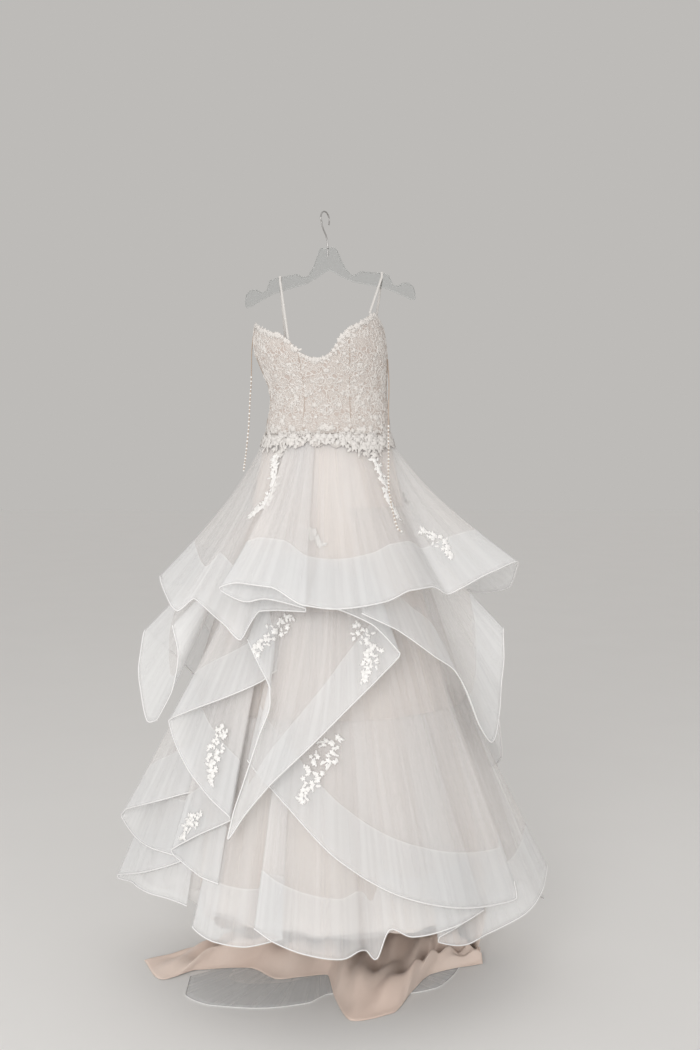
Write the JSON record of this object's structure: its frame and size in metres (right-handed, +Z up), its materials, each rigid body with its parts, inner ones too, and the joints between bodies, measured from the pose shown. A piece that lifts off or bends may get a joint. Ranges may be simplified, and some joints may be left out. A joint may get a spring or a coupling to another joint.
{
  "type": "wedding dress on a plastic hanger",
  "caption": "Strapped wedding dress with a corded lace bodice, tiered and cascading net skirt over a satin lining with a train, hung from a clear hanger's hook.",
  "frame": {"origin": "the point where the hanger's hook rests on its rod", "axes": "+Z up, the dress's front faces -Y, +X is to the viewer's right"},
  "size_m": [1.0868, 0.6781, 1.9035],
  "materials": {
    "lace": "corded floral lace over a blush lining",
    "illusion": "sheer nude net",
    "satin": "soft satin sheen",
    "net": "translucent ivory net with a fine rolled hem",
    "applique": "white corded lace",
    "plastic": "clear moulded plastic",
    "chrome": "polished wire",
    "beads": "pearl and crystal beads on a fine cord"
  },
  "bodies": {
    "root": {"bodice_front": "lace", "bodice_cup_right": "lace", "bodice_cup_left": "lace", "bodice_back_right": "lace", "bodice_back_left": "lace", "strap_left": "lace", "strap_right": "lace", "bodice_side_right": "illusion", "bodice_side_left": "illusion", "satin_front": "satin", "satin_back_right": "satin", "satin_back_left": "satin", "satin_train": "satin", "net_front": "net", "net_back": "net", "net_train": "net", "bottom_tier_front": "net", "bottom_tier_back": "net", "side_cascade": "net", "right_cascade": "net", "left_cascade": "net", "front_cascade": "net", "tier_two_right": "net", "tier_two_back": "net", "tier_two_left": "net", "tier_one_front": "net", "tier_one_back": "net", "waist_lace": "applique", "sprig_high_right": "applique", "sprig_wing_right": "applique", "sprig_left": "applique", "sprig_middle": "applique", "sprig_low": "applique", "hanger_body": "plastic", "hanger_hook": "chrome", "beads_left": "beads", "beads_right": "beads"}
  },
  "joints": []
}
